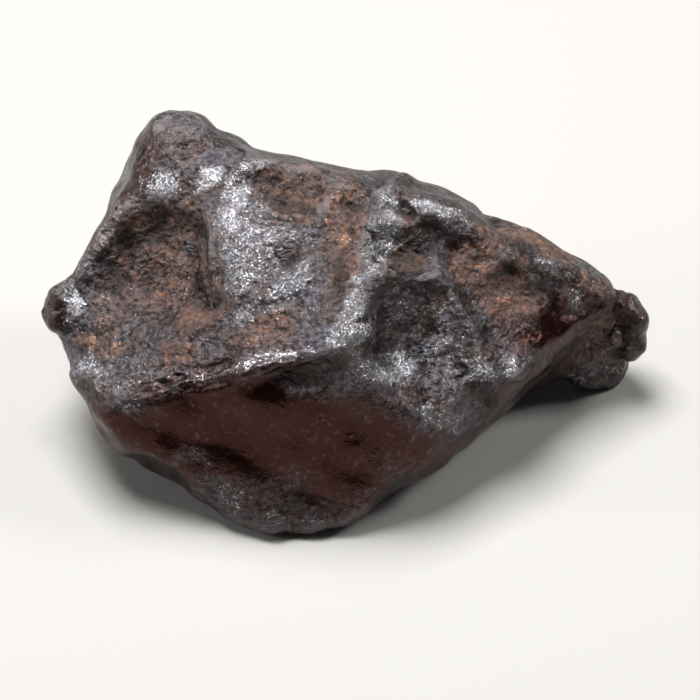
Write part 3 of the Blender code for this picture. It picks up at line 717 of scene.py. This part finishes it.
# Places made light: bare metal rubbed bright on the high places, together with a painted sheen and painted
# highlights where they catch the light
BRIGHT = [
    ((-14.7, 15.3), (5.5, 7), -20, 0.6),
    ((-29.2, 25.1), (3.2, 2.0), -15, 1.0),
    ((-21.4, 25.3), (2.6, 1.8), 30, 0.9),
    ((-17.2, 23.7), (1.8, 6), -18, 0.9),
    ((-13.8, 27.6), (3.5, 1.2), 12, 0.9),
    ((-10.5, 9), (8, 1.8), 38, 0.6),
    ((12.8, 20.7), (4.5, 1.6), -15, 1.0),
    ((0.4, 2.7), (3.6, 1.8), 15, 1.0),
    ((0.8, 7.5), (1.6, 6), -25, 0.7),
    ((-12, -1.6), (10, 1.0), 12, 0.95),
    ((-24, -5.1), (8, 1.2), 22, 0.9),
    ((-35.7, 18.8), (3, 1.0), 52, 0.8),
    ((-42.3, 6.8), (1.4, 3.4), -12, 0.8),
    ((-31.5, -7.8), (4.4, 0.8), 10, 1.0),
    ((-30.8, -4.8), (5, 1.8), 14, 0.45),
    ((19.2, -3.3), (2.2, 2.6), -50, 0.9),
    ((-38.2, -3.3), (3.2, 2.6), 0, 0.5),
    ((5.5, -2.7), (5, 2.2), 10, 0.85),
    ((-18, -21.8), (4, 1.6), -20, 0.5),
    ((-21.8, -16.2), (3.6, 0.7), -8, 0.7),
    ((-9, -21), (7, 0.8), -28, 0.7),
    ((13.5, -9.9), (4.5, 2.2), -20, 0.5),
    ((42.6, 4.2), (1.6, 2.0), 0, 0.5),
    ((37.5, -3.6), (4, 1.2), 8, 0.4),
    ((15.8, -1.5), (2.0, 6), 30, 0.5),
    ((5.2, 18.6), (1.8, 6), -8, 1.0),
    ((3.8, 13.2), (1.5, 3), -10, 0.7),
    ((24.9, -2.7), (2.2, 2.2), 0, 0.6),
    ((10.5, 0.8), (9, 7), -42, 0.12),
    ((30.8, 11.8), (3, 1.2), -30, 0.8),
    ((33.3, 6.8), (2.4, 1.2), 50, 0.6),
    ((37.9, 0.8), (1.6, 2.4), 0, 0.4),
]


# Each kind of patch with the size of its clouds in millimetres, their seed and their share out of sight
PATCHES = (
    (RUSTY, 12.0, 511, 0.30),
    (POLISHED, 14.0, 521, 0.15),
    (HAMMERED, 13.0, 531, 0.20),
    (BRIGHT, 8.0, 541, 0.10),
    (DIRT_AND_SHADE, 7.0, 551, 0.05),
)
PROUD_ROUNDS = 16
# Heights in millimetres between which a ridge starts and is fully rubbed, and a hollow is fully darkened
# with dirt and painted shade
RIDGE = (0.10, 0.36)
SHADED_HOLLOW = (0.08, 0.30)


def standing_proud(points, quads, facings, rounds):
    """How far points stand above the skin smoothed by a number of rounds, in mm; negative in hollows."""
    smooth = points
    for _ in range(rounds):
        smooth = neighbours_mean(smooth, quads)
    return ((points - smooth) * facings).sum(1)


def weathering(points, quads, facings, rounds):
    """Weights of each finish at the points, by name; bright adds a painted sheen to rubbed metal, and the
    hollows get painted shade with dirt. Smooth skin is neither rusty, hammered nor rubbed bright.
    """
    rust, polish, hammer, bright, dirt_and_shade_spots = (patches(points, facings, *kind) for kind in PATCHES)
    polish *= 1 - np.maximum(rust, hammer)
    proud = standing_proud(points, quads, facings, rounds)
    return {
        "rust": rust,
        "polish": polish,
        "hammer": hammer,
        "bright": bright - polish,
        "edge": ramp(proud, *RIDGE) * (1 - 0.7 * polish),
        "dirt_and_shade": np.maximum(ramp(-proud, *SHADED_HOLLOW), dirt_and_shade_spots),
    }


def relief(points, facings, rust, polish, hammer):
    """Height in mm of what is finer than the form: grain, creases, ripples in rust, hammered dents."""
    across = np.array([[1.0, 0.25, 0.1], [-0.2, 1.0, 0.3], [0.0, -0.3, 1.0]])
    fibre = points @ across.T * (0.45, 1.0, 1.0)
    plain = 1 - 0.85 * polish
    grain = 0.10 * layered(points, 2.2, 401, 2) * plain
    folds = 1 - np.abs(noise(points, 4.5, 441) + 0.4 * noise(points, 1.8, 442)) * 4
    crease = -0.16 * np.maximum(folds, 0) * plain * ramp(noise(points, 9.0, 443), -0.3, 0.2)
    ripple = 0.16 * (1 - 2 * np.abs(noise(fibre + 0.5 * facings, 1.9, 411))) * rust
    dent = 0.46 * (np.minimum(dents(points, 2.3, 421), 1.0) - 0.5) * hammer
    dent += 0.12 * layered(points, 1.5, 431, 2) * np.maximum(rust, hammer)
    return grain + crease + ripple + dent


def srgb(text):
    """Linear colour of an sRGB hex value."""
    c = np.array([int(text[i:i + 2], 16) for i in (1, 3, 5)]) / 255
    return (*np.where(c <= 0.04045, c / 12.92, ((c + 0.055) / 1.055) ** 2.4), 1.0)


def opaque(colour):
    """Colour of a setting with full alpha."""
    return (*colour, 1.0)


def node(tree, kind, sockets, source=None, **settings):
    """Adds a node and returns its output called source, or else its first output in use. Sockets go by
    identifier and take a value or an output; settings are the node's own properties."""
    n = tree.nodes.new(kind)
    for name, value in settings.items():
        setattr(n, name, value)
    for socket in n.inputs:
        value = sockets.get(socket.identifier)
        if isinstance(value, bpy.types.NodeSocket):
            tree.links.new(value, socket)
        elif value is not None:
            socket.default_value = value
    if source:
        return n.outputs[source]
    return next((output for output in n.outputs if output.enabled), None)


# Darkest colours: flecks in the crust, flecks in the rust, and the dirt and painted shade of the hollows
CRUST_FLECK = "#352d2b"
RUST_FLECK = "#40312c"
DIRT_AND_SHADE_COLOUR = "#1d1614"


def weathered_iron(settings):
    """Nickel-iron under a thin dark oxide crust, rubbed by handling, with painted sheen and glints on its
    high places and painted shade with dirt in its hollows: a metal, darkened, satin to glossy.
    """
    material = bpy.data.materials.new("weathered_nickel_iron")
    material.use_nodes = True
    tree = material.node_tree
    tree.nodes.clear()
    coordinates = node(tree, "ShaderNodeTexCoord", {}, "Object")
    # From metres to millimetres, so that each texture's scale is one over its size in millimetres
    place = node(tree, "ShaderNodeVectorMath", {"Vector": coordinates, "Scale": 1 / MM}, operation="SCALE")
    # bright carries a painted sheen and painted glints besides rubbed metal; the hollows' weight is painted
    # shade besides dirt
    rust = node(tree, "ShaderNodeAttribute", {}, attribute_name="rust")
    polish = node(tree, "ShaderNodeAttribute", {}, attribute_name="polish")
    hammer = node(tree, "ShaderNodeAttribute", {}, attribute_name="hammer")
    bright = node(tree, "ShaderNodeAttribute", {}, attribute_name="bright")
    edge = node(tree, "ShaderNodeAttribute", {}, attribute_name="edge")
    dirt_and_shade = node(tree, "ShaderNodeAttribute", {}, attribute_name="dirt_and_shade")

    fleck = node(tree, "ShaderNodeTexNoise", {"Vector": place, "Scale": 1 / 0.9, "Detail": 6.0,
                                              "Roughness": 0.7})
    cloud = node(tree, "ShaderNodeTexNoise", {"Vector": place, "Scale": 1 / 5, "Detail": 3.0,
                                              "Roughness": 0.6, "Distortion": 0.5})
    smear = node(tree, "ShaderNodeTexNoise", {"Vector": place, "Scale": 1 / 2.5, "Detail": 4.0,
                                              "Roughness": 0.65, "Distortion": 1.2})
    pores = node(tree, "ShaderNodeTexVoronoi", {"Vector": place, "Scale": 1 / 1.1, "Detail": 1.0})

    # Crust: brown grey and blue grey clouds, dark flecks and pores, maroon black where it is smooth
    clouds = node(tree, "ShaderNodeMapRange", {"Value": cloud, "From Min": 0.40, "From Max": 0.60})
    crust = node(tree, "ShaderNodeMix", {"Factor_Float": clouds, "A_Color": opaque(settings.crust_brown),
                                         "B_Color": opaque(settings.crust_grey)}, data_type="RGBA")
    flecks = node(tree, "ShaderNodeMapRange", {"Value": fleck, "From Min": 0.40, "From Max": 0.56})
    crust = node(tree, "ShaderNodeMix", {"Factor_Float": flecks, "A_Color": srgb(CRUST_FLECK),
                                         "B_Color": crust}, data_type="RGBA")
    specks = node(tree, "ShaderNodeMapRange", {"Value": fleck, "From Min": 0.55, "From Max": 0.70,
                                               "To Min": 1.0, "To Max": 0.35})
    smooth = node(tree, "ShaderNodeMath", {"Value": specks, "Value_001": polish}, operation="MULTIPLY")
    crust = node(tree, "ShaderNodeMix", {"Factor_Float": smooth, "A_Color": crust,
                                         "B_Color": opaque(settings.smooth_crust)}, data_type="RGBA")

    # Rust: brown earth with ochre, broken up at its edges
    smears = node(tree, "ShaderNodeMapRange", {"Value": smear, "From Min": 0.49, "From Max": 0.64})
    earth = node(tree, "ShaderNodeMix", {"Factor_Float": smears, "A_Color": opaque(settings.rust_brown),
                                         "B_Color": opaque(settings.rust_ochre)}, data_type="RGBA")
    earth = node(tree, "ShaderNodeMix", {"Factor_Float": flecks, "A_Color": srgb(RUST_FLECK),
                                         "B_Color": earth}, data_type="RGBA")
    rust_sum = node(tree, "ShaderNodeMath", {"Value": fleck, "Value_001": 2.0, "Value_002": rust},
                    operation="MULTIPLY_ADD")
    rusted = node(tree, "ShaderNodeMapRange", {"Value": rust_sum, "From Min": 1.35, "From Max": 1.75})
    colour = node(tree, "ShaderNodeMix", {"Factor_Float": rusted, "A_Color": crust, "B_Color": earth},
                  data_type="RGBA")

    # Rubbed, bright places get a painted silvery sheen, and bare metal shows through as painted glints
    sheen_sum = node(tree, "ShaderNodeMath", {"Value": smear, "Value_001": 1.6, "Value_002": bright},
                     operation="MULTIPLY_ADD")
    silvery = node(tree, "ShaderNodeMapRange", {"Value": sheen_sum, "From Min": 1.0, "From Max": 1.8,
                                                "To Max": 0.75})
    colour = node(tree, "ShaderNodeMix", {"Factor_Float": silvery, "A_Color": colour,
                                          "B_Color": opaque(settings.silver_grey)}, data_type="RGBA")
    glint = node(tree, "ShaderNodeTexNoise", {"Vector": place, "Scale": 1 / 0.32, "Detail": 2.0,
                                              "Roughness": 0.6})
    glint_sum = node(tree, "ShaderNodeMath", {"Value": glint, "Value_001": 4.0, "Value_002": bright},
                    operation="MULTIPLY_ADD")
    glint_sum = node(tree, "ShaderNodeMath", {"Value": smear, "Value_001": 2.4, "Value_002": glint_sum},
                    operation="MULTIPLY_ADD")
    worn_and_glinting = node(tree, "ShaderNodeMapRange", {"Value": glint_sum, "From Min": 3.90, "From Max": 4.35})
    colour = node(tree, "ShaderNodeMix", {"Factor_Float": worn_and_glinting, "A_Color": colour,
                                          "B_Color": opaque(settings.bare_metal_glint)}, data_type="RGBA")

    # Ridges are rubbed lighter, hollows hold dark dirt with painted shade
    rub_sum = node(tree, "ShaderNodeMath", {"Value": fleck, "Value_001": 1.6, "Value_002": edge},
                   operation="MULTIPLY_ADD")
    rubbed = node(tree, "ShaderNodeMapRange", {"Value": rub_sum, "From Min": 1.0, "From Max": 1.8,
                                               "To Max": 0.45})
    colour = node(tree, "ShaderNodeMix", {"Factor_Float": rubbed, "A_Color": colour,
                                          "B_Color": opaque(settings.rubbed_edge)}, data_type="RGBA")
    dirt_and_shade_mix = node(tree, "ShaderNodeMath", {"Value": dirt_and_shade, "Value_001": 0.7}, operation="MULTIPLY")
    colour = node(tree, "ShaderNodeMix", {"Factor_Float": dirt_and_shade_mix, "A_Color": colour,
                                          "B_Color": srgb(DIRT_AND_SHADE_COLOUR)}, data_type="RGBA")

    metallic = node(tree, "ShaderNodeMapRange", {"Value": rusted, "To Min": 0.85, "To Max": 0.25})
    gloss = node(tree, "ShaderNodeMapRange", {"Value": smooth, "To Min": 0.34, "To Max": 0.16})
    duller = node(tree, "ShaderNodeMath", {"Value": rusted, "Value_001": 0.22, "Value_002": gloss},
                  operation="MULTIPLY_ADD")
    glossier = node(tree, "ShaderNodeMath", {"Value": rubbed, "Value_001": -0.16, "Value_002": duller},
                    operation="MULTIPLY_ADD")
    roughness = node(tree, "ShaderNodeMath", {"Value": worn_and_glinting, "Value_001": -0.12, "Value_002": glossier},
                     operation="MULTIPLY_ADD")

    # Relief finer than the mesh: lumps, then grain, then pores
    strength = node(tree, "ShaderNodeMapRange", {"Value": polish, "To Min": settings.grain,
                                                 "To Max": 0.12 * settings.grain})
    wrinkles = node(tree, "ShaderNodeTexNoise", {"Vector": place, "Scale": 1 / 2.4, "Detail": 3.0,
                                                 "Roughness": 0.5, "Distortion": 0.7},
                    noise_type="RIDGED_MULTIFRACTAL")
    lumps = node(tree, "ShaderNodeTexNoise", {"Vector": place, "Scale": 1 / 1.5, "Detail": 2.0,
                                              "Roughness": 0.5, "Distortion": 0.8})
    normal = node(tree, "ShaderNodeBump", {"Height": lumps, "Strength": strength, "Distance": 0.75 * MM})
    normal = node(tree, "ShaderNodeBump", {"Height": wrinkles, "Strength": strength, "Distance": 0.27 * MM,
                                           "Normal": normal})
    normal = node(tree, "ShaderNodeBump", {"Height": fleck, "Strength": strength, "Distance": 0.45 * MM,
                                           "Normal": normal})
    normal = node(tree, "ShaderNodeBump", {"Height": pores, "Strength": strength, "Distance": 0.15 * MM,
                                           "Normal": normal})
    shader = node(tree, "ShaderNodeBsdfPrincipled", {"Base Color": colour, "Roughness": roughness,
                                                     "Metallic": metallic, "Normal": normal})
    node(tree, "ShaderNodeOutputMaterial", {"Surface": shader})
    return material


# The CAD stone's origin lies under the middle of its box, here in the layout's millimetres
BOX_CENTRE = (-0.19, 5.98)

# The stage is in metres. A light has a place and a size
FLOOR_RADIUS = 1.5
FLOOR_POINTS = 64
FLOOR_ROUGHNESS = 0.9
LIGHTS = {
    "key_light": ((-0.10, 0.12, 0.60), 0.30),
    "left_fill": ((-0.60, -0.05, 0.30), 0.20),
    "right_fill": ((0.50, 0.10, 0.45), 0.16),
}
SENSOR_WIDTH = 36.0


def colour_setting(name, description, text):
    """Colour property with an sRGB hex default."""
    return bpy.props.FloatVectorProperty(
        name=name, description=description, default=srgb(text)[:3], subtype="COLOR", min=0.0, max=1.0,
    )


class StoneSettings(bpy.types.PropertyGroup):
    """Sizes and colours of the stone."""

    grain: bpy.props.FloatProperty(
        name="Grain", description="Strength of the skin's fine relief", default=1.0, min=0.0, max=2.0,
        subtype="FACTOR",
    )
    crust_brown: colour_setting("Brown crust", "Brown part of the oxide crust", "#5d504c")
    crust_grey: colour_setting("Grey crust", "Grey part of the oxide crust", "#5f5e65")
    smooth_crust: colour_setting("Smooth crust", "Oxide crust where it is smooth", "#371d17")
    rust_brown: colour_setting("Brown rust", "Rust in the hollows", "#5a4640")
    rust_ochre: colour_setting("Ochre rust", "Lighter flecks of rust", "#8c5e41")
    rubbed_edge: colour_setting("Rubbed edges", "Crust rubbed light along the ridges", "#6e6a6b")
    silver_grey: colour_setting("Silvery grey", "Sheen of the worn places", "#7d7d84")
    # Colour of the painted glints where bare metal shows through
    bare_metal_glint: colour_setting("Bare metal", "Worn nickel-iron", "#c4c3c6")


class StageSettings(bpy.types.PropertyGroup):
    """Floor and light."""

    floor_colour: colour_setting("Floor", "Colour of the floor", "#aaa8a4")
    key_power: bpy.props.FloatProperty(
        name="Key light", description="Power of the soft light above", default=8.0, min=0.0, unit="POWER",
    )
    left_power: bpy.props.FloatProperty(
        name="Left fill", description="Power of the soft light at the left", default=1.3, min=0.0,
        unit="POWER",
    )
    right_power: bpy.props.FloatProperty(
        name="Right fill", description="Power of the soft light at the right", default=2.2, min=0.0,
        unit="POWER",
    )
    room_level: bpy.props.FloatProperty(
        name="Room", description="Brightness of the plain grey room", default=0.05, min=0.0, max=1.0,
        subtype="FACTOR",
    )


class METEORITE_OT_stone(bpy.types.Operator):
    """Makes the meteorite and hides the CAD stone that it stands for"""

    bl_idname = "meteorite.stone"
    bl_label = "Make the stone"

    def execute(self, context):
        settings = context.scene.meteorite_stone
        points, quads = stone_skin(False)
        _, facings = onto_skin(points, 1)
        weights = weathering(points, quads, facings, PROUD_ROUNDS)
        height = relief(points, facings, weights["rust"], weights["polish"], weights["hammer"])
        lifted = points + facings * (settings.grain * height)[:, None]
        lifted[:, 2] = np.maximum(lifted[:, 2], 0.0)
        mesh = bpy.data.meshes.new("meteorite_skin")
        mesh.vertices.add(len(lifted))
        mesh.vertices.foreach_set("co", ((lifted - (*BOX_CENTRE, 0.0)) * MM).ravel())
        mesh.loops.add(quads.size)
        mesh.loops.foreach_set("vertex_index", quads.ravel())
        mesh.polygons.add(len(quads))
        mesh.polygons.foreach_set("loop_start", np.arange(0, quads.size, 4))
        mesh.update(calc_edges=True)
        mesh.polygons.foreach_set("use_smooth", np.ones(len(quads), bool))
        for name, values in weights.items():
            mesh.attributes.new(name, "FLOAT", "POINT").data.foreach_set("value", values.astype(np.float32))
        mesh.validate()
        stone = bpy.data.objects.new("meteorite_skin", mesh)
        context.scene.collection.objects.link(stone)
        mesh.materials.append(weathered_iron(settings))
        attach(stone, "root")
        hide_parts("meteorite")
        return {"FINISHED"}


class METEORITE_OT_stage(bpy.types.Operator):
    """Makes the pale floor, the soft lights, the grey room and the camera"""

    bl_idname = "meteorite.stage"
    bl_label = "Make the stage"

    def execute(self, context):
        settings = context.scene.meteorite_stage
        mesh = bpy.data.meshes.new("floor")
        angle = np.linspace(0, 2 * pi, FLOOR_POINTS, endpoint=False)
        rim = np.stack([np.cos(angle), np.sin(angle), np.zeros(FLOOR_POINTS)], 1) * FLOOR_RADIUS
        mesh.from_pydata(rim.tolist(), [], [list(range(FLOOR_POINTS))])
        floor = bpy.data.objects.new("floor", mesh)
        context.scene.collection.objects.link(floor)
        material = bpy.data.materials.new("matt_painted_board")
        material.use_nodes = True
        shader = material.node_tree.nodes["Principled BSDF"]
        shader.inputs["Base Color"].default_value = opaque(settings.floor_colour)
        shader.inputs["Roughness"].default_value = FLOOR_ROUGHNESS
        mesh.materials.append(material)

        target = np.array([-BOX_CENTRE[0], -BOX_CENTRE[1], PLANE_HEIGHT]) * MM
        powers = (settings.key_power, settings.left_power, settings.right_power)
        for (name, (spot, size)), power in zip(LIGHTS.items(), powers):
            light = bpy.data.lights.new(name, "AREA")
            light.size = size
            light.energy = power
            lamp = bpy.data.objects.new(name, light)
            context.scene.collection.objects.link(lamp)
            lamp.location = spot
            aim = Vector(target) - lamp.location
            lamp.rotation_euler = aim.to_track_quat("-Z", "Y").to_euler()

        context.scene.view_settings.view_transform = "Standard"
        world = bpy.data.worlds.new("room")
        context.scene.world = world
        world.use_nodes = True
        grey = settings.room_level
        world.node_tree.nodes["Background"].inputs["Color"].default_value = (grey, grey, grey, 1.0)

        camera = bpy.data.objects.new("camera", bpy.data.cameras.new("camera"))
        context.scene.collection.objects.link(camera)
        camera.data.sensor_width = SENSOR_WIDTH
        camera.data.lens = SENSOR_WIDTH * EYE_DISTANCE / FRAME_WIDTH
        camera.location = target + EYE_SIDE * EYE_DISTANCE * MM
        camera.rotation_euler = (radians(EYE_ANGLE), 0, 0)
        camera.data.clip_start = 0.01
        context.scene.camera = camera
        return {"FINISHED"}


class METEORITE_PT_panel(bpy.types.Panel):
    """Lists the pieces and the stage"""

    bl_idname = "METEORITE_PT_panel"
    bl_label = "Iron meteorite"
    bl_space_type = "VIEW_3D"
    bl_region_type = "UI"
    bl_category = "Meteorite"

    def draw(self, context):
        for name in StoneSettings.__annotations__:
            self.layout.prop(context.scene.meteorite_stone, name)
        self.layout.operator(METEORITE_OT_stone.bl_idname)
        for name in StageSettings.__annotations__:
            self.layout.prop(context.scene.meteorite_stage, name)
        self.layout.operator(METEORITE_OT_stage.bl_idname)


CLASSES = (StoneSettings, StageSettings, METEORITE_OT_stone, METEORITE_OT_stage, METEORITE_PT_panel)


def register():
    """Adds the classes and the settings."""
    for item in CLASSES:
        bpy.utils.register_class(item)
    bpy.types.Scene.meteorite_stone = bpy.props.PointerProperty(type=StoneSettings)
    bpy.types.Scene.meteorite_stage = bpy.props.PointerProperty(type=StageSettings)


def unregister():
    """Takes the settings and the classes away again."""
    del bpy.types.Scene.meteorite_stage
    del bpy.types.Scene.meteorite_stone
    for item in reversed(CLASSES):
        bpy.utils.unregister_class(item)


def main():
    """Makes the stage and the stone."""
    register()
    bpy.ops.meteorite.stage()
    bpy.ops.meteorite.stone()


if __name__ == "__main__":
    main()
